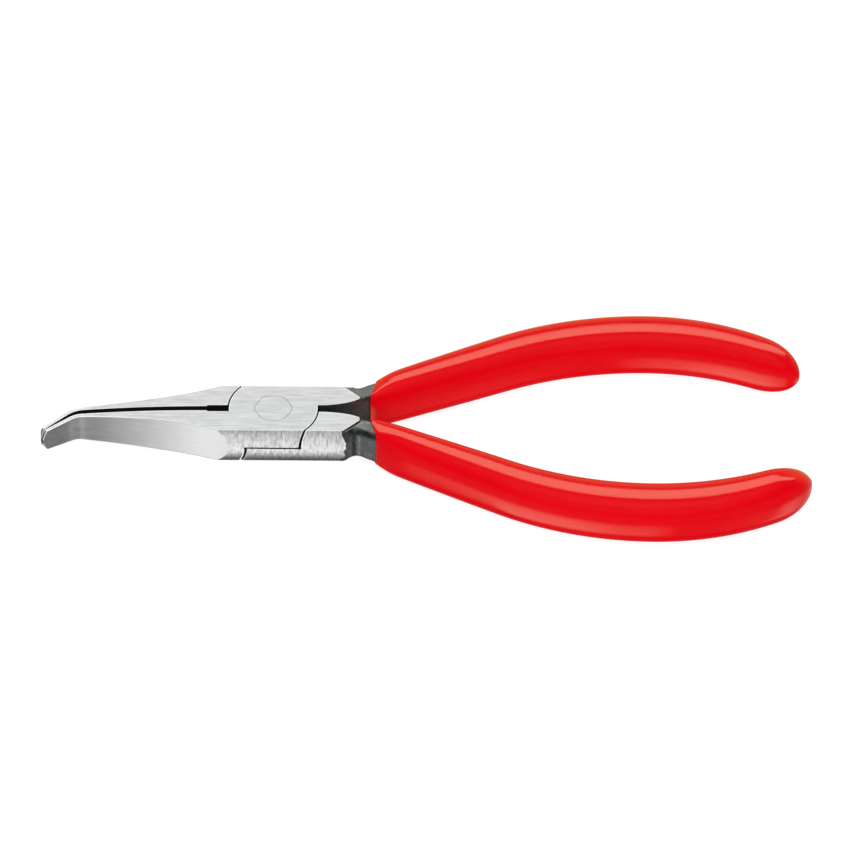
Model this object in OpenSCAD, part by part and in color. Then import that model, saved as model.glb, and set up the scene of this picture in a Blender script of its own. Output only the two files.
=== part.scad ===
// Needle-nose adjusting pliers with a bent nose, a riveted lap joint and dip-coated handles.
// Millimetres. The origin is on the pivot axis in the ground underside of the joint. +X runs
// from the pivot to the handles, +Y towards the handle of half A, and +Z along the pivot axis.
// Half A is the jaw at -Y, the upper cheek and the handle at +Y. Half B is its counterpart,
// with the lower cheek, and turns about the rivet.

/* [Joint] */
// Thickness of the joint between its two ground faces
joint_t = 7.3; // [7:0.1:7.6]
// Width of the ground faces across the joint
joint_w = 11.2; // [10.9:0.1:11.5]
// Crown of the belt-ground sides at mid-thickness
side_crown = 0.75; // [0.6:0.05:0.9]
// Radius of the two cheek discs that turn on each other
cheek_r = 7.75; // [7.7:0.05:7.9]
// Gap between a cheek disc and the shoulders around it
shoulder_gap = 0.3; // [0.2:0.05:0.35]
// Gap between the faces of the two cheeks
lap_gap = 0.2; // [0.1:0.02:0.24]

/* [Rivet] */
// Radius of the rivet's shank, pressed into half A
shank_r = 2.5; // [2.2:0.1:2.8]
// Radial running clearance of the shank in half B
shank_play = 0.05; // [0.02:0.01:0.1]
// Width across the flats of the rivet's hexagonal head
head_af = 6.1; // [5.8:0.1:6.4]
// Thickness of the hexagonal head
head_t = 1.6; // [1.3:0.1:1.8]
// Radius of the round closing head in half B
closing_r = 3.6; // [3.4:0.1:3.8]
// Thickness of the closing head
closing_t = 1.25; // [1:0.05:1.5]

/* [Jaws] */
// Distance from the pivot to where the nose starts to bend
bend_x = 33.3; // [32:0.1:35]
// Angle that the nose is bent through
bend_angle = 36; // [30:1:42]
// Centreline radius of the bend
bend_r = 4.2; // [3.5:0.1:5]
// Length of the straight nose past the bend
nose_l = 5.85; // [5.5:0.05:6.2]
// Width of one jaw at the bend, from the centreline out
bend_w = 1.2; // [1.1:0.05:1.4]
// Width of one jaw at the tip, from the centreline out
tip_w = 0.65; // [0.6:0.05:0.8]
// Thickness of the jaws at the tip
tip_t = 4.1; // [3.9:0.1:4.5]
// Half-width of the relief slot in front of the joint
relief_hw = 0.8; // [0.7:0.05:0.9]
// Lean of both jaws out of the joint's line, towards the side that the nose bends to
jaw_lean = 0.7; // [0:0.1:1]

/* [Handles] */
// Widest in-plane width of a coated handle
grip_w = 8.9; // [8.5:0.1:9.3]
// Thickness of a coated handle
grip_t = 9.2; // [9:0.1:9.6]
// Thickness of the plastic coating in the plane of the handles
coat_t = 1; // [0.8:0.05:1.2]
// Where the coating starts, from the pivot
rim_x = 17.5; // [17:0.1:18]
// Lean of the coating's rim, from square to the pliers' length
rim_lean = 13; // [8:1:16]
// Half-width of the gap between the handles next to the joint
root_gap = 0.8; // [0.7:0.05:0.9]

/* [Hidden] */

$fn = 96;
e = 0.01;
big = 60;
mid_z = joint_t / 2;
half_w = joint_w / 2 + side_crown;
crown_r = (pow(mid_z, 2) + pow(side_crown, 2)) / (2 * side_crown);
shoulder_r = cheek_r + shoulder_gap;
steel = "silver";
coating = "red";

// A handle's centreline is a straight stretch, a front arc up to the apex and a rear arc.
// [apex x, apex y, angle of the straight stretch, front radius, rear radius, length past the apex]
handle_a = [65, 20.85, 24.2, 61, 48, 29];
handle_b = [66.4, 21.65, 25.8, 60, 51, 28.6];

function smooth(t) = let (u = max(0, min(1, t))) u * u * (3 - 2 * u);
function rad(a) = a * PI / 180;
function deg(r) = r * 180 / PI;
function range(from, to, steps) = [for (i = [0:steps]) from + (to - from) * i / steps];

// ---- Jaws ------------------------------------------------------------------------------
// d runs along the jaws' centreline from the start of the bend: negative towards the joint,
// positive towards the tip.

bend_len = rad(bend_angle) * bend_r;
tip_d = bend_len + nose_l;
jaw_back_d = -29;
relief_d = 11.6 - bend_x;
taper_x = -13;

function nose_angle(d) = d < 0 ? 0 : min(bend_angle, deg(d / bend_r));
function nose_centre(d) =
    let (a = nose_angle(d), run = max(0, d - bend_len))
    [-bend_x - min(d, 0) - bend_r * sin(a) - run * cos(a),
     -bend_r * (1 - cos(a)) - run * sin(a)];
function jaw_point(d, off) =
    let (a = nose_angle(d)) nose_centre(d) + off * [-sin(a), cos(a)];

// The hollow-ground outer side: it falls steeply from the joint and flattens to the bend.
function jaw_hw(d) =
    d < 0 ? bend_w - 0.0735 * d + 0.0033 * pow(d, 2) + 2.4e-6 * pow(d, 4)
          : bend_w + (tip_w - bend_w) * d / tip_d;

// The jaws touch at the tip only: the gap is widest next to the relief slot.
tip_gap = 0.05;
bend_gap = 0.48;
root_face_gap = 0.54;
function face_gap(d) =
    d < 0 ? bend_gap + (root_face_gap - bend_gap) * d / relief_d
          : bend_gap + (tip_gap - bend_gap) * d / tip_d;

jaw_stations = concat(range(relief_d, 0, 12), range(bend_len / 6, bend_len, 5), [tip_d]);
flank_stations = concat(range(jaw_back_d, 0, 22), range(bend_len / 6, bend_len, 5), [tip_d]);

// Outline of one jaw seen from above. side is 1 for the jaw at +Y and -1 for the one at -Y.
module jaw_outline(side) {
    face = [for (d = jaw_stations) jaw_point(d, side * face_gap(d))];
    flank = [for (i = [len(flank_stations) - 1:-1:0])
        jaw_point(flank_stations[i], side * jaw_hw(flank_stations[i]))];
    back = [jaw_point(jaw_back_d, side * relief_hw), jaw_point(relief_d, side * relief_hw)];
    polygon(concat(face, flank, back));
}

// Side view of both jaws: full thickness at the joint, then a long curve down to the tip.
module jaw_profile() {
    reach = taper_x - nose_centre(tip_d)[0];
    drop = (joint_t - tip_t) / 2;
    xs = range(0, reach, 12);
    top = [for (x = xs) [taper_x - x, joint_t - drop * pow(x / reach, 2)]];
    bottom = [for (i = [len(xs) - 1:-1:0]) [taper_x - xs[i], drop * pow(xs[i] / reach, 2)]];
    polygon(concat([[0, 0], [0, joint_t]], top, bottom));
}

// The tips end in an arc across their thickness, square to the nose.
tip_round_r = 3.3;
module tip_round() {
    end = nose_centre(tip_d);
    translate([end[0], end[1], mid_z])
        rotate([0, 0, bend_angle])
            rotate([90, 0, 0])
                linear_extrude(2 * big, center = true)
                    polygon(concat(
                        [[big, -big / 4], [big, big / 4], [tip_round_r, big / 4]],
                        [for (a = range(125, 235, 20))
                            [tip_round_r * (1 + cos(a)), tip_round_r * sin(a)]],
                        [[tip_round_r, -big / 4]]));
}

module jaw(side) {
    intersection() {
        linear_extrude(joint_t) rotate(jaw_lean) jaw_outline(side);
        translate([0, big / 2, 0])
            rotate([90, 0, 0])
                linear_extrude(big) jaw_profile();
        rotate(jaw_lean) tip_round();
        crowned_bar(-big, big);
    }
}

// ---- Joint -----------------------------------------------------------------------------

// A bar along X with the joint's thickness and its crowned sides.
module crowned_bar(x0, x1) {
    intersection() {
        translate([x0, -half_w, 0]) cube([x1 - x0, 2 * half_w, joint_t]);
        for_both_sides()
            translate([x0, half_w - crown_r, mid_z])
                rotate([0, 90, 0])
                    cylinder(r = crown_r, h = x1 - x0, $fn = 180);
    }
}

module for_both_sides() {
    intersection_for (s = [0, 1]) mirror([0, s, 0]) children();
}

// The upper cheek, which is the part of half A that lies over the lower cheek of half B.
module cheek() {
    intersection() {
        crowned_bar(-big, big);
        translate([0, 0, mid_z + lap_gap / 2]) cylinder(r = cheek_r, h = joint_t);
    }
}

// The round seat in one half that the other half's cheek turns in.
module cheek_seat() {
    translate([0, 0, mid_z - lap_gap / 2]) cylinder(r = shoulder_r, h = joint_t + lap_gap);
}

// The hexagonal head has well-rounded corners and is ground flush with the upper cheek.
module hex_head(over = 0) {
    translate([0, 0, joint_t - head_t])
        intersection() {
            cylinder(r = head_af / 2 / cos(30), h = head_t + over, $fn = 6);
            cylinder(r = head_af * 0.535, h = head_t + over);
        }
}

// ---- Handles ---------------------------------------------------------------------------
// s runs along a handle's centreline from its apex: negative towards the joint.

function arc_s(h) = -rad(h[2]) * h[3];
function arc_start(h) = [h[0] - h[3] * sin(h[2]), h[1] - h[3] * (1 - cos(h[2]))];
function heading(h, s) = s > 0 ? -deg(s / h[4]) : min(h[2], deg(-s / h[3]));
function centre(h, s) =
    s > 0 ? [h[0] + h[4] * sin(deg(s / h[4])), h[1] - h[4] * (1 - cos(deg(s / h[4])))] :
    s > arc_s(h) ? [h[0] - h[3] * sin(deg(-s / h[3])), h[1] - h[3] * (1 - cos(deg(-s / h[3])))] :
    arc_start(h) + (s - arc_s(h)) * [cos(h[2]), sin(h[2])];
function s_at(h, x) = arc_s(h) - (arc_start(h)[0] - x) / cos(h[2]);

// Half-width of the coated handle: widest at the apex, and slimmer towards both ends.
front_slim = 6.2e-4;
rear_slim = 1.7e-3;
function coated_hw(s) = grip_w / 2 - (s < 0 ? front_slim : rear_slim) * pow(s, 2);
function tang_hw(s) = coated_hw(s) - coat_t - 0.05;
tang_hh = mid_z - 0.2;

// Next to the joint the tang leaves the head in a fillet on each side. Both curves run into
// the straight stretch's own edges.
root_x = 8;
fillet_x = 15.3;
fillet_k = 0.33;
edge_drop = 0.12;

// The ground face ends in a leaf: a raised part of the tang with a slanting outer edge and a
// blunt tip. It is forged a little proud, and then ground flush with the joint.
leaf_x = 12.06;
leaf_y = 5.68;
leaf_slope = 0.92;
leaf_tip_x = 14.95;
leaf_front = 0.5;
leaf_flank = 0.2;
leaf_hh = mid_z + 0.12;
saddle = 0.1;

function edge_y(h, x, side) =
    arc_start(h)[1] - (arc_start(h)[0] - x) * tan(h[2])
    + side * tang_hw(s_at(h, rim_x)) / cos(h[2]);
function inner_y(h, x) =
    let (m = tan(h[2]), u = 2 * (root_gap - edge_y(h, root_x, -1)) / m)
    x < root_x ? root_gap
    : x < root_x + u ? root_gap + m / (2 * u) * pow(x - root_x, 2)
    : edge_y(h, x, -1);
function outer_y(h, x) =
    min(half_w + 0.9, edge_y(h, x, 1) + fillet_k * pow(max(0, fillet_x - x), 2));
function root_hh(x) =
    let (low = tang_hh - saddle * (1 - smooth((x - leaf_tip_x - leaf_front) / 1.1)))
    low + (leaf_hh - low) * (1 - smooth((x - leaf_x + 0.16) / 0.9));
function root_leaf(x) = 1 - max(0, min(1, (x - leaf_tip_x) / leaf_front));
function root_ri(x) = 0.25 + 0.45 * smooth((x - 13) / 3);
function root_drop(x) = edge_drop * smooth((x - 12.6) / 3.4);

// One cross-section of the tang in its own plane: u runs outwards across the handle and v up.
// The top slopes down to the well-rounded outer edge. Up to the ridge it is raised to the leaf.
edge_r = 1.1;
function tang_section(hw, hh, drop, ri = 0.7, ridge = 0, leaf = 0) =
    let (ro = min(edge_r, hw * 0.8),
         u0 = -hw + ri, u1 = hw - ro,
         slope = drop / (u1 - u0),
         rise = leaf * (leaf_hh - hh),
         ur = max(ridge, u0 + 0.05),
         upper = concat(
             [for (a = [180, 157.5, 135, 112.5, 90]) [u0 + ri * cos(a), hh + rise - ri + ri * sin(a)]],
             [[ur, hh + rise - slope * (ur - u0) * (1 - leaf)],
              [ur + leaf_flank, hh - slope * (ur + leaf_flank - u0)]],
             [for (a = [90, 75, 60, 45, 30, 15, 0])
                 [u1 + ro * cos(a), hh - drop - ro + ro * sin(a)]]))
    concat(upper, [for (i = [len(upper) - 1:-1:0]) [upper[i][0], -upper[i][1]]]);

// One cross-section of the coating: a rounded square with the same number of points.
coat_power = 2 / 3;
function coat_section(hw, hh) =
    [for (i = [0:27]) let (a = 180 - (i + 0.5) * 360 / 28)
        [hw * sign(cos(a)) * pow(abs(cos(a)), coat_power),
         hh * sign(sin(a)) * pow(abs(sin(a)), coat_power)]];

// Puts a section in space at a centre point, turned to an angle about Z.
function placed(section, c, angle) =
    [for (p = section) [c[0] - p[0] * sin(angle), c[1] + p[0] * cos(angle), mid_z + p[1]]];

// The coating's rim leans away from the joint on the outside. Past it the sections turn
// square to the handle.
function section_angle(h, s) =
    -rim_lean + (heading(h, s) + rim_lean) * smooth((s - s_at(h, rim_x)) / 9);

function root_ring(h, x) =
    let (yi = inner_y(h, x), yo = outer_y(h, x), ym = (yi + yo) / 2,
         edge = min(leaf_y - leaf_slope * (x - leaf_x), yo - edge_r - leaf_flank))
    placed(tang_section((yo - yi) / 2, root_hh(x), root_drop(x), root_ri(x), edge - ym,
                        root_leaf(x)),
           [x, ym], 0);
function tang_ring(h, s, shrink = 0) =
    let (a = section_angle(h, s), cant = cos(heading(h, s) - a))
    placed(tang_section(tang_hw(s) / cant - shrink, tang_hh - shrink, edge_drop),
           centre(h, s), a);

// The coating starts as a thin skin around the tang, fills out to a rounded square over the
// flare, and ends in a dome.
flare_l = 6;
dome_l = 8;
lip_t = 0.25;
function mix(a, b, t) = [for (i = [0:len(a) - 1]) a[i] + t * (b[i] - a[i])];
function grip_ring(h, s) =
    let (a = section_angle(h, s), cant = cos(heading(h, s) - a),
         full = 1 - pow(1 - min(1, (s - s_at(h, rim_x)) / flare_l), 2.5),
         to_end = max(0, 1 - (h[5] - s) / dome_l),
         dome = sqrt(max(0.004, 1 - pow(to_end, 2.2))),
         lip = tang_section(tang_hw(s) / cant + lip_t, tang_hh + lip_t, edge_drop),
         body = coat_section(coated_hw(s) / cant * dome, grip_t / 2 * dome))
    placed(mix(lip, body, full), centre(h, s), a);

tang_tip = 5;
root_stations = concat([4.6, root_x], range(9.2, 14.8, 16),
                       range(leaf_tip_x, leaf_tip_x + leaf_front, 4), [15.8, 16.2]);
function tang_stations(h) =
    concat(range(s_at(h, rim_x), s_at(h, rim_x) + 9, 6),
           range(s_at(h, rim_x) + 11, h[5] - tang_tip, 24));
function grip_stations(h) =
    concat(range(s_at(h, rim_x), s_at(h, rim_x) + 9, 12),
           range(s_at(h, rim_x) + 11, h[5] - dome_l, 24),
           [for (t = range(10, 90, 8)) h[5] - dome_l * (1 - sin(t))]);

// Skins a list of rings that all have the same number of points.
module skin(rings) {
    n = len(rings[0]);
    m = len(rings);
    points = [for (ring = rings) for (p = ring) p];
    sides = [for (k = [0:m - 2]) for (i = [0:n - 1])
        let (a = k * n + i, b = k * n + (i + 1) % n, c = b + n, d = a + n)
        each [[a, b, c], [a, c, d]]];
    caps = [[for (i = [n - 1:-1:0]) i], [for (i = [0:n - 1]) (m - 1) * n + i]];
    polyhedron(points, concat(sides, caps), convexity = 10);
}

module tang(h) {
    end_s = h[5] - tang_tip;
    skin(concat(
        [for (x = root_stations) root_ring(h, x)],
        [for (s = tang_stations(h)) tang_ring(h, s)],
        [tang_ring(h, end_s + 0.6, 0.5)]));
}

// The sleeve is one closed skin: out along the outside, and back along the tang.
module grip(h) {
    inside = tang_stations(h);
    rings = concat(
        [for (i = [len(inside) - 1:-1:0]) tang_ring(h, inside[i])],
        [for (s = grip_stations(h)) grip_ring(h, s)]);
    skin(concat([tang_ring(h, h[5] - tang_tip + 0.6, 0.5)], rings));
}

// The root of a handle, ground flush with the joint's faces and its crowned sides.
module ground_tang(h) {
    grind_x = 13.6;
    difference() {
        tang(h);
        translate([0, -big, joint_t]) cube([big, 2 * big, big]);
        translate([0, -big, -big]) cube([big, 2 * big, big]);
        difference() {
            translate([0, 0, -e]) cube([grind_x, half_w + 2, joint_t + 2 * e]);
            crowned_bar(-1, big);
        }
    }
}

// ---- The five pieces -------------------------------------------------------------------

module half_a() {
    color(steel)
        difference() {
            union() {
                jaw(-1);
                cheek();
                ground_tang(handle_a);
            }
            translate([0, 0, -joint_t]) cheek_seat();
            cylinder(r = shank_r, h = joint_t);
            hex_head(over = e);
        }
}

module half_b() {
    color(steel)
        difference() {
            union() {
                jaw(1);
                translate([0, 0, joint_t]) rotate([180, 0, 0]) cheek();
                mirror([0, 1, 0]) ground_tang(handle_b);
            }
            cheek_seat();
            translate([0, 0, -e]) cylinder(r = shank_r + shank_play, h = joint_t);
            translate([0, 0, -e])
                cylinder(r = closing_r + shank_play, h = closing_t + shank_play + e);
        }
}

module pivot_rivet() {
    color(steel) {
        cylinder(r = closing_r, h = closing_t);
        cylinder(r = shank_r, h = joint_t);
        hex_head();
    }
}

module grip_a() {
    color(coating) grip(handle_a);
}

module grip_b() {
    color(coating) mirror([0, 1, 0]) grip(handle_b);
}

half_a();
half_b();
pivot_rivet();
grip_a();
grip_b();
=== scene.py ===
"""Bent-nose pliers: smooth handles, finishes, floor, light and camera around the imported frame."""
import math
from collections import namedtuple
from types import SimpleNamespace

import bpy
import numpy as np
from mathutils import Matrix, Vector


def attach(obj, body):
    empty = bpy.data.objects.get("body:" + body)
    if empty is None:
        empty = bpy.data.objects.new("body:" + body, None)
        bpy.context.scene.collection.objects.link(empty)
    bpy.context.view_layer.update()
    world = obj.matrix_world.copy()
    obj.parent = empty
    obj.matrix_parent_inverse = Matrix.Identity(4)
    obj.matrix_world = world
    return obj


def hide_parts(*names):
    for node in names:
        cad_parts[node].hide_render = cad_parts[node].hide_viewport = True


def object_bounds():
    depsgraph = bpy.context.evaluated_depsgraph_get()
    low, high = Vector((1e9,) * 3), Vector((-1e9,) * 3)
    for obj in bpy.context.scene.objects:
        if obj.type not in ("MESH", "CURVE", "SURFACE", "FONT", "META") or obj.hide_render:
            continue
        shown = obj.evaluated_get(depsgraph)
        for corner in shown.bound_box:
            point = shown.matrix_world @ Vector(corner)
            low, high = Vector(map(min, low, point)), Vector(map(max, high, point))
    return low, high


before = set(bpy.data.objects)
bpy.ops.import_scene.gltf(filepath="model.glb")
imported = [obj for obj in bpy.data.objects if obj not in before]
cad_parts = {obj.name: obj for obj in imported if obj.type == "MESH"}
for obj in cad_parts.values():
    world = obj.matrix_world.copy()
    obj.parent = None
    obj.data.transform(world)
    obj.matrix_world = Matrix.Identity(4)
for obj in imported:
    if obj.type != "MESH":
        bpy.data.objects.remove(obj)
cad_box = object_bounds()
scene = bpy.context.scene
MM = 0.001

# ---- Sizes shared with the CAD, in millimetres --------------------------------------------
# The joint: its mid-thickness, the half-width and radius of its crowned sides, and the rivet.
MID_Z = 3.65
SIDE_CROWN = 0.75
HALF_W = 6.35
CROWN_R = (MID_Z ** 2 + SIDE_CROWN ** 2) / (2 * SIDE_CROWN)
CHEEK_R, SHOULDER_R = 7.75, 8.05
HEAD_FLATS = 6.1
HEAD_CORNER_R = HEAD_FLATS * 0.535
# The jaws: where the nose starts to bend, the bend, and the jaws' lean.
BEND_X, BEND_R = 33.3, 4.2
BEND, LEAN = math.radians(36), math.radians(0.7)
# The coated handles.
GRIP_W, GRIP_T, COAT_T = 8.9, 9.2, 1.0
FRONT_SLIM, REAR_SLIM = 6.2e-4, 1.7e-3
RIM_X, RIM_LEAN, TURN_L = 17.5, math.radians(13), 9.0
FLARE_L, LIP_T, DOME_L = 6.0, 0.25, 8.0
# The tang inside the coating.
TANG_PLAY = 0.05
TANG_HH = MID_Z - 0.2
TANG_END = 5.0
EDGE_DROP, INNER_R, EDGE_R = 0.12, 0.7, 1.1

Spec = namedtuple("Spec", "apex_x apex_y lead_deg front_r rear_r tail side body")
HANDLES = {
    "grip_a": Spec(65, 20.85, 24.2, 61, 48, 29, 1, "first_half"),
    "grip_b": Spec(66.4, 21.65, 25.8, 60, 51, 28.6, -1, "second_half"),
}


# ---- Handles ------------------------------------------------------------------------------
def smooth(t):
    u = max(0.0, min(1.0, t))
    return u * u * (3 - 2 * u)


class Handle:
    """A handle's centreline. s runs along it from the apex, and is negative towards the joint."""

    def __init__(self, spec):
        self.spec = spec
        self.lead = math.radians(spec.lead_deg)
        self.arc_s = -self.lead * spec.front_r
        self.start = self.on_arc(self.arc_s)
        self.rim_s = self.arc_s - (self.start[0] - RIM_X) / math.cos(self.lead)

    def on_arc(self, s):
        r, way = (self.spec.rear_r, 1) if s > 0 else (self.spec.front_r, -1)
        a = abs(s) / r
        return (self.spec.apex_x + way * r * math.sin(a), self.spec.apex_y - r * (1 - math.cos(a)))

    def heading(self, s):
        return -s / self.spec.rear_r if s > 0 else min(self.lead, -s / self.spec.front_r)

    def centre(self, s):
        if s > self.arc_s:
            return self.on_arc(s)
        d = s - self.arc_s
        return (self.start[0] + d * math.cos(self.lead), self.start[1] + d * math.sin(self.lead))

    def coated_hw(self, s):
        return GRIP_W / 2 - (FRONT_SLIM if s < 0 else REAR_SLIM) * s * s

    def angle(self, s):
        """Direction of the section's normal: square to the rim's lean, then to the handle."""
        return -RIM_LEAN + (self.heading(s) + RIM_LEAN) * smooth((s - self.rim_s) / TURN_L)

    def cant(self, s):
        return math.cos(self.heading(s) - self.angle(s))


def quarter(cu, cv, r, start, steps=12):
    """Points round a quarter circle, clockwise from a start angle in degrees."""
    angles = [math.radians(start - 90 * k / steps) for k in range(steps + 1)]
    return [(cu + r * math.cos(a), cv + r * math.sin(a)) for a in angles]


def tang_outline(hw, hh):
    """The tang's cross-section: u runs outwards across the handle, and v runs up."""
    outer_r = min(EDGE_R, hw * 0.8)
    upper = quarter(-hw + INNER_R, hh - INNER_R, INNER_R, 180)
    upper += quarter(hw - outer_r, hh - EDGE_DROP - outer_r, outer_r, 90)
    return np.array(upper + [(u, -v) for u, v in reversed(upper)])


ROUND = 96
ANGLES = [2 * math.pi * k / ROUND for k in range(ROUND)]
COS, SIN = np.cos(ANGLES), np.sin(ANGLES)


def polar_radius(outline):
    """Distance from the middle to the outline at each of the angles."""
    edge = np.roll(outline, -1, 0) - outline
    out = []
    for c, s in zip(COS, SIN):
        den = c * edge[:, 1] - s * edge[:, 0]
        den = np.where(np.abs(den) < 1e-12, 1e-12, den)
        r = (outline[:, 0] * edge[:, 1] - outline[:, 1] * edge[:, 0]) / den
        t = (outline[:, 0] * s - outline[:, 1] * c) / den
        hit = (t >= -1e-6) & (t <= 1 + 1e-6) & (r > 0)
        out.append(r[hit].min())
    return np.array(out)


def tang_radius(h, s, grow):
    hw = (h.coated_hw(s) - COAT_T - TANG_PLAY) / h.cant(s)
    return polar_radius(tang_outline(hw + grow, TANG_HH + grow))


def coat_radius(h, s):
    """The coating's section: a rounded square that starts at the lip and ends in a dome."""
    full = 1 - (1 - min(1, (s - h.rim_s) / FLARE_L)) ** 2.5
    to_end = max(0, 1 - (h.spec.tail - s) / DOME_L)
    dome = math.sqrt(max(1e-4, 1 - to_end ** 2.2))
    hw, hh = h.coated_hw(s) / h.cant(s) * dome, GRIP_T / 2 * dome
    r = (np.abs(COS / hw) ** 3 + np.abs(SIN / hh) ** 3) ** (-1 / 3)
    return r if full == 1 else r * full + tang_radius(h, s, LIP_T) * (1 - full)


def ring(h, s, radius, forward=0.0):
    """A section in space, moved a little along its own normal."""
    a = h.angle(s)
    cx, cy = h.centre(s)
    cx, cy = cx + forward * math.cos(a), cy + forward * math.sin(a)
    u, v = radius * COS, radius * SIN
    return np.stack([cx - u * math.sin(a), cy + u * math.cos(a), MID_Z + v], 1)


def grip_rings(h):
    """Out of the sleeve along the tang, round the thin rolled rim, and along the outside."""
    fit, tip_in, roll_l = 0.03, 0.53, 0.22
    tang_s = h.spec.tail - TANG_END
    rings = [ring(h, tang_s + 0.6, tang_radius(h, tang_s + 0.6, -tip_in))]
    rings += [ring(h, s, tang_radius(h, s, -fit)) for s in np.linspace(tang_s, h.rim_s + 0.4, 60)]
    for t in np.sin(np.radians(np.linspace(0, 90, 7))):
        grow = LIP_T * t ** 0.8 - fit * (1 - t)
        rings.append(ring(h, h.rim_s, tang_radius(h, h.rim_s, grow), roll_l * (1 - t)))
    outside = np.concatenate([
        h.rim_s + np.linspace(0.05, 1, 14) ** 1.6 * TURN_L,
        np.linspace(h.rim_s + TURN_L + 0.6, h.spec.tail - DOME_L, 110),
        h.spec.tail - DOME_L * (1 - np.sin(np.radians(np.linspace(2.5, 89.2, 40))))])
    return rings + [ring(h, s, coat_radius(h, s)) for s in outside]


def make_grip(name, spec):
    rings = grip_rings(Handle(spec))
    points = np.concatenate(rings) * (1, spec.side, 1) * MM
    last = (len(rings) - 1) * ROUND
    faces = [(k + i, k + (i + 1) % ROUND, k + ROUND + (i + 1) % ROUND, k + ROUND + i)
             for k in range(0, last, ROUND) for i in range(ROUND)]
    faces += [tuple(range(ROUND))[::-1], tuple(range(last, last + ROUND))]
    if spec.side < 0:
        faces = [face[::-1] for face in faces]
    mesh = bpy.data.meshes.new(name + "_coating")
    mesh.from_pydata(points.tolist(), [], faces)
    mesh.update()
    mesh.polygons.foreach_set("use_smooth", [True] * len(mesh.polygons))
    grip = bpy.data.objects.new(name + "_coating", mesh)
    scene.collection.objects.link(grip)
    return grip


# ---- Node trees ---------------------------------------------------------------------------
class Nodes:
    """A little help for writing node trees. Values are sockets or plain numbers."""

    def __init__(self, tree):
        self.tree = tree
        tree.nodes.clear()

    def new(self, kind, **props):
        node = self.tree.nodes.new(kind)
        for key, value in props.items():
            setattr(node, key, value)
        return node

    def link(self, a, b):
        self.tree.links.new(a, b)

    def feed(self, socket, value):
        if isinstance(value, bpy.types.NodeSocket):
            self.link(value, socket)
        else:
            socket.default_value = value

    def math(self, op, a, b=0.0, clamp=False):
        node = self.new("ShaderNodeMath", operation=op, use_clamp=clamp)
        self.feed(node.inputs[0], a)
        self.feed(node.inputs[1], b)
        return node.outputs[0]

    def add(self, a, b):
        return self.math("ADD", a, b)

    def sub(self, a, b):
        return self.math("SUBTRACT", a, b)

    def mul(self, first, *others):
        for other in others:
            first = self.math("MULTIPLY", first, other)
        return first

    def most(self, first, *others):
        for other in others:
            first = self.math("MAXIMUM", first, other)
        return first

    def inverse(self, a):
        return self.sub(1.0, a)

    def size(self, a):
        return self.math("ABSOLUTE", a)

    def below(self, a, limit):
        return self.math("LESS_THAN", a, limit)

    def above(self, a, limit):
        return self.math("GREATER_THAN", a, limit)

    def between(self, a, low, high):
        return self.mul(self.above(a, low), self.below(a, high))

    def length(self, a, b):
        return self.math("SQRT", self.add(self.mul(a, a), self.mul(b, b)))

    def turned(self, a, b, angle):
        """The first coordinate of a point (a, b), in axes that are turned by an angle."""
        return self.add(self.mul(a, math.cos(angle)), self.mul(b, math.sin(angle)))

    def remap(self, value, low, high, to_low=0.0, to_high=1.0, kind="LINEAR"):
        node = self.new("ShaderNodeMapRange", interpolation_type=kind)
        for i, v in enumerate((value, low, high, to_low, to_high)):
            self.feed(node.inputs[i], v)
        return node.outputs[0]

    def fade(self, value, low, high, to_low=0.0, to_high=1.0):
        return self.remap(value, low, high, to_low, to_high, "SMOOTHSTEP")

    def vector(self, op, a, b):
        node = self.new("ShaderNodeVectorMath", operation=op)
        self.feed(node.inputs[0], a)
        self.feed(node.inputs[1], b)
        return node.outputs["Value" if op == "DOT_PRODUCT" else "Vector"]

    def split(self, vector):
        node = self.new("ShaderNodeSeparateXYZ")
        self.link(vector, node.inputs[0])
        return node.outputs

    def mix(self, fac, a, b, kind="FLOAT"):
        """Mixes two values, or with kind RGBA or VECTOR two colours or two vectors."""
        node = self.new("ShaderNodeMix", data_type=kind)
        ends = {"FLOAT": (2, 3, 0), "VECTOR": (4, 5, 1), "RGBA": (6, 7, 2)}[kind]
        self.feed(node.inputs[0], fac)
        self.feed(node.inputs[ends[0]], a)
        self.feed(node.inputs[ends[1]], b)
        return node.outputs[ends[2]]

    def ramp(self, value, stops):
        """A value that runs straight between (position, value) stops."""
        low, high = stops[0][0], stops[-1][0]
        top = max(v for _, v in stops)
        node = self.new("ShaderNodeValToRGB")
        self.link(self.math("DIVIDE", self.sub(value, low), high - low), node.inputs[0])
        bar = node.color_ramp.elements
        while len(bar) < len(stops):
            bar.new(0.5)
        for element, (at, v) in zip(bar, stops):
            element.position = (at - low) / (high - low)
            element.color = (v / top, v / top, v / top, 1)
        return self.mul(node.outputs[0], top)


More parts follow.
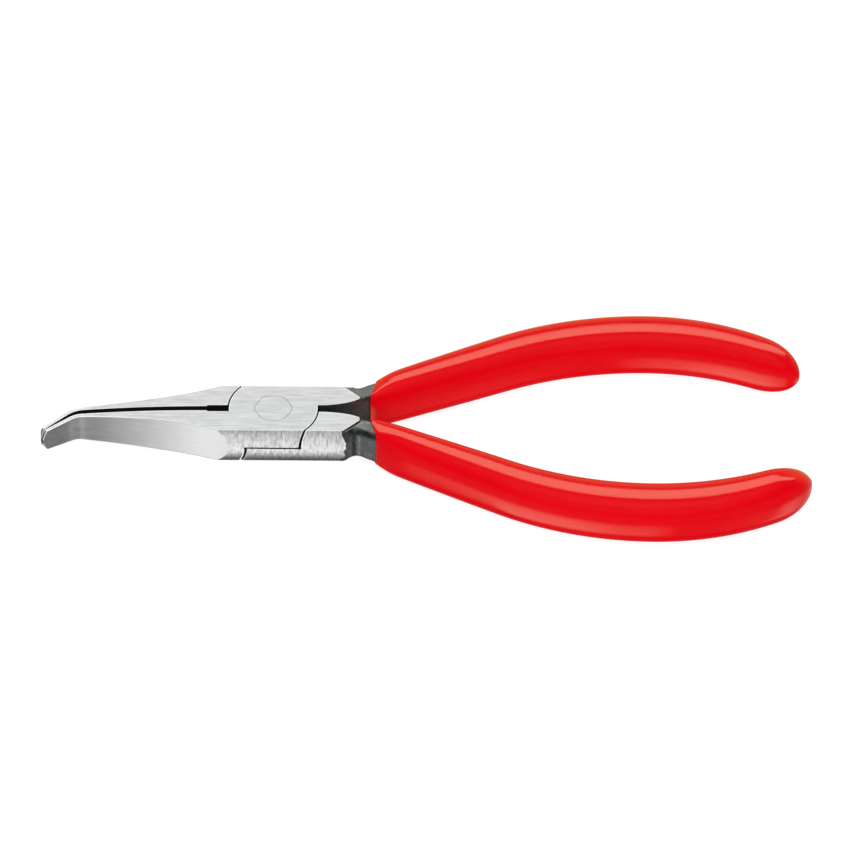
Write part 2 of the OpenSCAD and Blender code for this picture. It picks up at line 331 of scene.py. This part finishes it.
class Material(Nodes):
    """A material with one Principled shader, and textures that work in millimetres."""

    def __init__(self, name):
        self.mat = bpy.data.materials.new(name)
        self.mat.use_nodes = True
        super().__init__(self.mat.node_tree)
        self.bsdf = self.new("ShaderNodeBsdfPrincipled")
        self.link(self.bsdf.outputs[0], self.new("ShaderNodeOutputMaterial").inputs[0])
        self.place = self.vector("MULTIPLY", self.new("ShaderNodeTexCoord").outputs["Object"],
                                 (1 / MM, 1 / MM, 1 / MM))

    def set(self, **values):
        """Sets sockets of the shader by name, with _ for a space."""
        for key, value in values.items():
            self.feed(self.bsdf.inputs[key.replace("_", " ")], value)

    def noise(self, per_mm, detail=2.0, rough=0.5):
        """Noise with a number of features per millimetre, or one number for each axis."""
        node = self.new("ShaderNodeTexNoise")
        even = isinstance(per_mm, float)
        self.link(self.place if even else self.vector("MULTIPLY", self.place, per_mm),
                  node.inputs["Vector"])
        node.inputs["Scale"].default_value = per_mm if even else 1.0
        node.inputs["Detail"].default_value = detail
        node.inputs["Roughness"].default_value = rough
        return node.outputs["Fac"]

    def bump(self, height, distance, strength):
        node = self.new("ShaderNodeBump")
        node.inputs["Strength"].default_value = strength
        node.inputs["Distance"].default_value = distance
        self.link(height, node.inputs["Height"])
        self.link(node.outputs[0], self.bsdf.inputs["Normal"])


# ---- Steel --------------------------------------------------------------------------------
# Where its finishes meet, in millimetres: the end of the belt-ground sides, the gap between the
# jaws, the relief slot behind it, the lapped faces of the cheeks, the ground head and the tips.
GROUND_TO, GROUND_ARC, GROUND_WAVE = 12.75, 0.075, 1.3
GAP_HW, GAP_X = 0.6, -11
RELIEF_HW, RELIEF_FRONT, RELIEF_BACK = 1.05, -12, -7.8
LAP_HH, HEAD_X, TIP_X = 0.17, 7.8, -38
# How far from a ground surface a point still counts as on it.
FACE_SKIN, CROWN_SKIN, WALL_SKIN = 0.004, 0.03, 0.05
# Stretches along X over which the painted light and shade on the jaws, and their dark edge line, change.
SHINE_FROM, SHINE_TO = -34, -12
NOSE_FROM, NOSE_TO = -31, -34
DARK_LINE_FROM, DARK_LINE_TO = -27, -20
BEND_SHINE_X = -34.4


def jaw_line(m, x, y):
    """Distance from the line between the jaws, which runs straight, round the bend and on."""
    off = m.turned(y, x, -LEAN)
    past = m.add(m.turned(x, y, LEAN), BEND_X)
    below = m.add(off, BEND_R)
    round_bend = m.sub(m.length(past, below), BEND_R)
    down_nose = m.sub(m.turned(below, past, -BEND), BEND_R)
    off = m.mix(m.below(past, 0.0), off, round_bend)
    off = m.mix(m.below(past, -BEND_R * math.sin(BEND)), off, down_nose)
    return m.size(off)


def rivet_line(m, x, y, radius):
    """A thin line round the rivet's head, a hexagon whose corners are cut to a radius."""
    across = [m.size(m.turned(x, y, math.radians(a))) for a in (30, 90, 150)]
    past_flats = m.sub(m.most(*across), HEAD_FLATS / 2)
    past_corners = m.sub(radius, HEAD_CORNER_R)
    return m.fade(m.size(m.most(past_flats, past_corners)), 0.14, 0.04)


def steel_zones(m):
    """Masks of the steel's finishes and of the painted shade in its gaps, from the place in millimetres and
    the face's direction.
    """
    geometry = m.new("ShaderNodeNewGeometry").outputs
    zone = SimpleNamespace(normal=geometry["Normal"], flat_normal=geometry["True Normal"])
    zone.x, zone.y, zone.z = x, y, z = m.split(m.place)
    zone.off_mid = m.size(m.sub(z, MID_Z))
    zone.radius = m.length(x, y)
    zone.upright = m.below(m.size(m.split(zone.flat_normal)[2]), 0.5)

    # The belt has ground the two flat faces, and the crowned sides up to an uneven line.
    zone.face = m.above(zone.off_mid, MID_Z - FACE_SKIN)
    squared = m.mul(zone.off_mid, zone.off_mid)
    side_y = m.add(m.math("SQRT", m.sub(CROWN_R ** 2, squared)), HALF_W - CROWN_R)
    on_crown = m.mul(m.above(m.size(y), m.sub(side_y, CROWN_SKIN)), m.inverse(zone.face))
    wave = m.mul(m.sub(m.noise(0.9, 1.0), 0.5), GROUND_WAVE)
    ground_to = m.add(wave, m.sub(GROUND_TO, m.mul(squared, GROUND_ARC)))
    zone.crown = m.mul(on_crown, m.below(x, ground_to))
    zone.jaw_side = m.mul(zone.upright, m.inverse(zone.crown))

    # The walls of the gaps and of the round seats, and the lapped faces, are painted near-black as shade in
    # these narrow recesses.
    nose_way = (math.cos(BEND + LEAN), math.sin(BEND + LEAN), 0)
    end_on = m.size(m.vector("DOT_PRODUCT", zone.flat_normal, nose_way))
    zone.tip = m.mul(m.below(x, TIP_X), m.above(end_on, 0.7))
    gap = m.mul(m.below(jaw_line(m, x, y), GAP_HW), m.below(x, GAP_X), m.inverse(zone.tip))
    relief = m.mul(m.below(m.size(y), RELIEF_HW), m.between(x, RELIEF_FRONT, RELIEF_BACK))
    seat = m.between(zone.radius, CHEEK_R - WALL_SKIN, SHOULDER_R + 2 * WALL_SKIN)
    wall_shade = m.mul(m.most(gap, relief, seat), zone.jaw_side)
    lap_shade = m.mul(m.below(zone.off_mid, LAP_HH), m.below(zone.radius, SHOULDER_R + WALL_SKIN))
    zone.dark = m.most(wall_shade, lap_shade)
    head = m.below(x, HEAD_X)
    zone.bright = m.mul(m.most(zone.face, zone.crown, head), m.inverse(zone.dark))
    return zone


def ground_value(m, zone, lines, scratches):
    """How light and how metallic the ground steel is, with light, shade and highlights painted into its
    value.
    """
    x = zone.x
    # Painted light and shade: the jaw sides are painted bright by the joint and darker towards the nose,
    # lighter again past the bend and darker at the tip; the other surfaces are painted lighter towards the
    # tip.
    near_joint = m.mul(m.remap(x, SHINE_FROM, SHINE_TO), zone.jaw_side)
    nose = m.mul(m.fade(x, NOSE_FROM, NOSE_TO), zone.jaw_side)
    flat = m.mul(m.remap(lines, 0, 1, 0.42, 0.80), m.fade(x, -37, -30, 1.25, 1.0))
    shaded_jaw_value = m.mul(m.remap(lines, 0, 1, 0.18, 0.37), m.remap(x, -37.5, -33, 0.74, 1.05),
                 m.mix(nose, 0.88, 1.16))
    lit_jaw_value = m.remap(lines, 0, 1, 0.84, 1.0)
    value = m.mix(zone.jaw_side, flat, m.mix(near_joint, shaded_jaw_value, lit_jaw_value))
    metal = m.mix(zone.jaw_side, 0.5, m.mix(nose, m.mix(near_joint, 0.6, 0.5), 0.5))

    # Painted shade: the crowned sides are painted darker to their edges, and most to the lower one.
    edge_shade = m.inverse(m.mul(m.math("POWER", zone.off_mid, 3.0), 0.009))
    low_shade = m.fade(zone.z, 0.5, 3.4, 0.2, 1.03)
    value = m.mix(zone.crown, value, m.mul(m.remap(scratches, 0, 1, 0.62, 1.3), edge_shade, low_shade))

    # Painted highlight: the bend is painted lighter.
    bend = m.mul(m.fade(m.size(m.sub(x, BEND_SHINE_X)), 1.8, 0.6), zone.jaw_side)
    value = m.mix(bend, value, m.mul(value, 1.15))
    metal = m.mix(zone.crown, m.mix(bend, metal, 0.3), 0.35)

    # Painted highlights: broken edges are painted white and not metallic.
    bevel = m.new("ShaderNodeBevel", samples=8)
    bevel.inputs["Radius"].default_value = 0.3 * MM
    turn = m.vector("DOT_PRODUCT", bevel.outputs[0], zone.flat_normal)
    edge = m.mul(m.remap(turn, 0.99, 0.93), zone.bright, m.remap(zone.off_mid, 0.3, 0.45),
                 m.above(zone.radius, HEAD_FLATS * 0.6))
    # The edges of the jaw sides towards the joint are darkened into a thin dark line.
    dark_edge_line = m.mul(edge, zone.jaw_side, m.fade(x, DARK_LINE_FROM, DARK_LINE_TO))
    # Painted shade: the tips' end faces are painted darker.
    value = m.mix(edge, m.mul(value, m.mix(zone.tip, 1.0, 0.32)), 1.0)
    metal = m.mix(edge, metal, 0.0)
    value = m.mul(value, m.inverse(m.mul(dark_edge_line, 0.75)))

    # The flush rivet shows as a faint outline.
    outline = m.mul(rivet_line(m, x, zone.y, zone.radius), zone.face)
    return m.mul(value, m.inverse(m.mul(outline, 0.5))), metal


def steel_material():
    """Belt-ground steel at the head, blackened forged steel behind it, and painted near-black shade in the
    gaps.
    """
    m = Material("ground_blackened_steel_and_recess_shade")
    zone = steel_zones(m)

    # Grinding lines along the faces and the jaws, and short scratches across the sides.
    fine = m.mix(zone.jaw_side, m.noise((0.16, 3.4, 3.4), 3.0, 0.7), m.noise((0.10, 0.25, 2.6), 3.0, 0.7))
    bands = m.noise((0.3, 1.0, 1.0))
    lines = m.mix(0.35, m.remap(fine, 0.3, 0.7), m.remap(bands, 0.3, 0.7))
    scratches = m.remap(m.noise((3.8, 0.9, 0.9), 3.0, 0.65), 0.33, 0.67)

    value, metal = ground_value(m, zone, lines, scratches)
    steel = m.new("ShaderNodeCombineColor")
    flat_tint, side_tint = (0.97, 1.0, 1.02), (0.985, 1.0, 0.99)
    for channel, flat, side in zip(steel.inputs, flat_tint, side_tint):
        m.link(m.mul(value, m.mix(zone.upright, flat, side)), channel)

    mottle = m.noise(1.1, 4.0, 0.6)
    black = m.mix(m.fade(mottle, 0.3, 0.7), (0.007, 0.010, 0.009, 1), (0.034, 0.044, 0.041, 1), "RGBA")
    # Painted shade: the walls of the gaps and seats and the lapped faces get a near-black colour.
    black = m.mix(zone.dark, black, (0.005, 0.006, 0.006, 1), "RGBA")
    oxide_rough = m.mix(zone.dark, m.remap(mottle, 0.35, 0.65, 0.24, 0.46), 0.55)
    ground_rough = m.mix(zone.crown, m.remap(lines, 0, 1, 0.32, 0.40), m.remap(scratches, 0, 1, 0.40, 0.52))
    ground_height = m.mix(zone.crown, lines, m.mul(scratches, 2.0))

    m.set(Base_Color=m.mix(zone.bright, black, steel.outputs[0], "RGBA"),
          Metallic=m.mul(zone.bright, metal),
          Roughness=m.mix(zone.bright, oxide_rough, ground_rough),
          IOR=2.4, Specular_Tint=(0.96, 1.0, 0.98, 1), Anisotropic=0.4)
    m.bump(m.mix(zone.bright, m.mul(mottle, 6.0), ground_height), 0.005 * MM, 0.5)

    # The marks spread light across themselves.
    across_faces = m.vector("CROSS_PRODUCT", zone.normal, (1, 0, 0))
    m.set(Tangent=m.mix(zone.crown, across_faces, (1, 0, 0), "VECTOR"))
    return m.mat


# ---- Vinyl --------------------------------------------------------------------------------
def vinyl_material():
    """Glossy red dip coating, with the faint unevenness of a dipped skin."""
    m = Material("dipped_vinyl")
    red, light_red = (0.72, 0.0002, 0.005, 1), (0.78, 0.0004, 0.008, 1)
    m.set(Base_Color=m.mix(m.noise(0.18), red, light_red, "RGBA"),
          Roughness=m.remap(m.noise(0.42), 0.2, 0.8, 0.10, 0.15),
          IOR=1.52, Specular_Tint=(1.0, 0.92, 0.6, 1))
    m.bump(m.noise(0.26, 1.5), 0.02 * MM, 0.4)
    return m.mat


# ---- The object ---------------------------------------------------------------------------
steel, vinyl = steel_material(), vinyl_material()
for name in ("half_a", "half_b", "pivot_rivet"):
    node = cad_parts[name]
    for slot in node.material_slots:
        slot.material = steel
    if not node.material_slots:
        node.data.materials.append(steel)

for name, spec in HANDLES.items():
    grip = make_grip(name, spec)
    grip.data.materials.append(vinyl)
    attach(grip, spec.body)
    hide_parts(name)


# ---- Floor --------------------------------------------------------------------------------
def make_floor(radius=3.0, sides=64):
    """A round sheet of white paper that the pliers lie on, lit evenly and not seen in the steel."""
    turns = [2 * math.pi * k / sides for k in range(sides)]
    corners = [(radius * math.cos(a), radius * math.sin(a), cad_box[0][2]) for a in turns]
    mesh = bpy.data.meshes.new("floor")
    mesh.from_pydata(corners, [], [list(range(sides))])
    paper = Material("floor_paper")
    paper.set(Base_Color=(0.25, 0.25, 0.25, 1), Roughness=0.9, Specular_IOR_Level=0.1,
              Emission_Color=(1, 1, 1, 1), Emission_Strength=0.86)
    mesh.materials.append(paper.mat)
    floor = bpy.data.objects.new("floor", mesh)
    floor.visible_glossy = False
    scene.collection.objects.link(floor)
    return floor


make_floor()

# ---- Light --------------------------------------------------------------------------------
# The middle of the object as the camera sees it.
AIM = Vector((27.396, -1.427, MID_Z)) * MM


def direction(el, az=0.0):
    """A direction seen from the pliers. Azimuth 0 is +Y and 90 is +X."""
    e, a = math.radians(el), math.radians(az)
    return Vector((math.cos(e) * math.sin(a), math.cos(e) * math.cos(a), math.sin(e)))


def area(name, way, distance, size, power, glossy=True):
    """A soft light that looks at the pliers from a direction."""
    light = bpy.data.lights.new(name, "AREA")
    light.shape = "RECTANGLE"
    light.size, light.size_y = size
    light.energy = power
    lamp = bpy.data.objects.new(name, light)
    scene.collection.objects.link(lamp)
    lamp.location = AIM + way * distance
    lamp.rotation_mode = "QUATERNION"
    lamp.rotation_quaternion = way.to_track_quat("Z", "Y")
    lamp.visible_glossy = glossy
    lamp.visible_camera = False


def studio_world():
    """Soft cards around the pliers, as brightness by direction."""
    ambient, haze = 0.3, 0.01
    world = bpy.data.worlds.new("studio")
    scene.world = world
    world.use_nodes = True
    world.cycles.sampling_method = "NONE"
    w = Nodes(world.node_tree)
    background = w.new("ShaderNodeBackground")
    w.link(background.outputs[0], w.new("ShaderNodeOutputWorld").inputs[0])

    # Azimuth 0 is towards -Y, and 90 towards -X. Elevation is above the horizon.
    dx, dy, dz = w.split(w.new("ShaderNodeTexCoord").outputs["Generated"])
    azimuth = w.mul(w.math("ARCTAN2", w.mul(dx, -1.0), w.mul(dy, -1.0)), 180 / math.pi)
    elevation = w.mul(w.math("ARCSINE", dz), 180 / math.pi)

    # A low card in front and to the left, another behind, and a faint one overhead.
    low = w.mul(
        w.ramp(elevation, [(-90, 0.02), (-59, 0.04), (-51, 1), (-45, 1), (-36, 0.06), (-15, 0.01),
                           (10, 0)]),
        w.ramp(azimuth, [(-180, 0.3), (-100, 0.3), (-74, 1.1), (-62, 1.1), (-56, 0.22), (-40, 0.14),
                         (-24, 0.05), (-12, 0.05), (0, 0.9), (10, 1.1), (26, 2.0), (53, 1.9),
                         (57, 0.3), (63, 0.05), (100, 0.1), (180, 0.3)]))
    back = w.mul(
        w.ramp(elevation, [(-90, 0.1), (-40, 0.3), (-10, 0.7), (12, 0.7), (26, 0.5), (36, 0.06)]),
        w.ramp(w.size(azimuth), [(0, 0), (90, 0), (125, 1), (180, 1)]))
    high = w.ramp(elevation, [(-90, 0), (62, 0), (78, 0.18), (90, 0.2)])

    # The camera sees white past the floor, and surfaces get a little even light.
    path = w.new("ShaderNodeLightPath").outputs
    total = w.add(w.add(low, back), w.add(high, haze))
    total = w.add(w.add(total, path["Is Camera Ray"]), w.mul(path["Is Diffuse Ray"], ambient))
    w.link(total, background.inputs["Strength"])

    # The back card is warm near the horizon.
    near_horizon = w.ramp(elevation, [(-90, 0), (-14, 0), (-6, 1), (20, 1), (28, 0), (90, 0)])
    warmth = w.mul(w.math("MULTIPLY", back, 2.0, clamp=True), near_horizon)
    w.link(w.mix(warmth, (1, 1, 1, 1), (1, 0.8, 0.25, 1), "RGBA"), background.inputs["Color"])


area("key", direction(52, 180), distance=0.9, size=(1.2, 1.2), power=8.0, glossy=False)
area("softbox", direction(48.2), distance=1.0, size=(1.5, 0.265), power=3.2)
studio_world()


# ---- Camera -------------------------------------------------------------------------------
def make_camera(tilt=43.7, roll=0.43, distance=1.2):
    """A long lens that looks along +Y from above, turned a little about its own axis."""
    lens = bpy.data.cameras.new("camera")
    lens.lens, lens.sensor_width = 287.3, 36
    lens.clip_start, lens.clip_end = 0.01, 20
    camera = bpy.data.objects.new("camera", lens)
    scene.collection.objects.link(camera)
    turn = Matrix.Rotation(math.radians(90 - tilt), 4, "X") @ Matrix.Rotation(math.radians(roll), 4, "Z")
    away = turn @ Vector((0, 0, distance))
    camera.matrix_world = Matrix.Translation(AIM + away) @ turn
    return camera


scene.camera = make_camera()
scene.view_settings.view_transform = "Standard"
scene.view_settings.look = "None"
